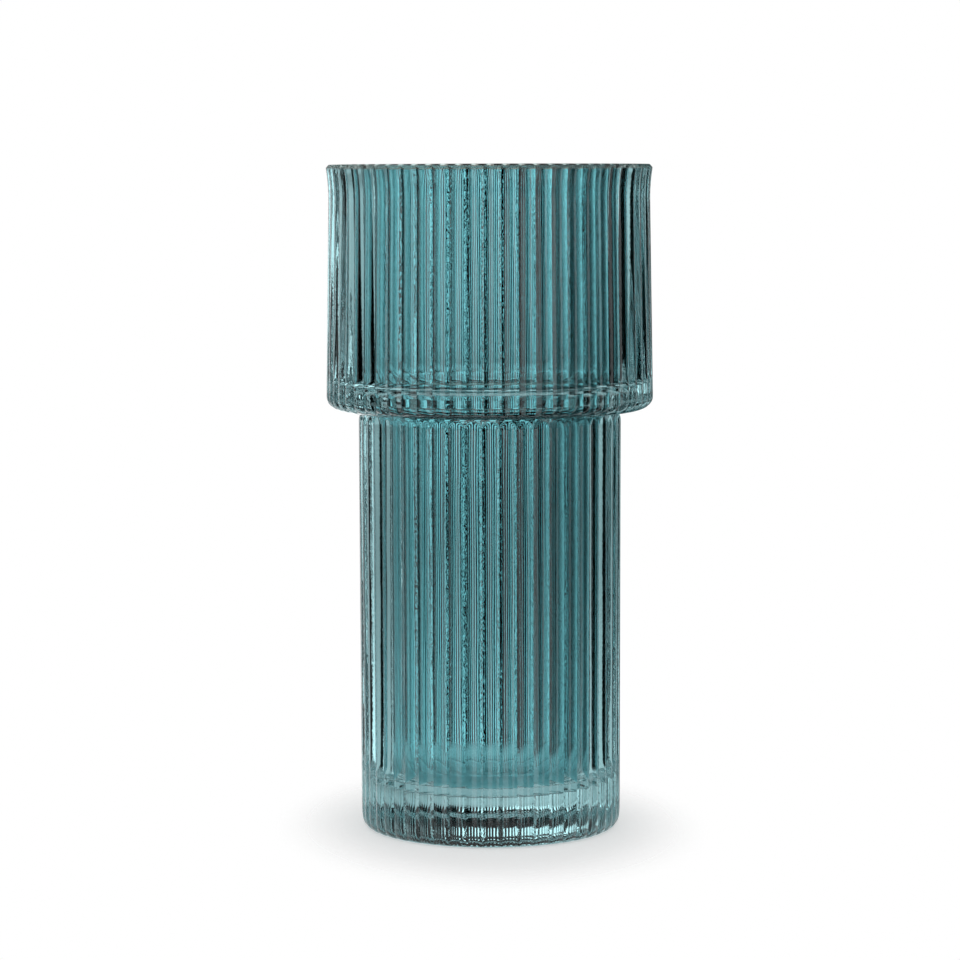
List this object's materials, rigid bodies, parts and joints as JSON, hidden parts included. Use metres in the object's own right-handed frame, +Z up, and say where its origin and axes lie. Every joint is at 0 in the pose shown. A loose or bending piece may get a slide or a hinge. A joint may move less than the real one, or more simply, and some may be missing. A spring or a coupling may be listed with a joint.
{
  "type": "glass vase",
  "caption": "Two-tier vase in ribbed teal glass: a wide open upper tier on a narrower lower tier, smooth inside, with a thick solid ledge between them and a solid foot.",
  "frame": {"origin": "centre of the flat face that the vase stands on", "axes": "+Z up along the vase's axis, out of its mouth; a rib valley of both tiers lies on the X and Y axes"},
  "size_m": [0.0982, 0.0982, 0.2],
  "materials": {
    "glass": "pressed glass, fire-polished"
  },
  "bodies": {
    "root": {"vase_body": "glass"}
  },
  "joints": []
}
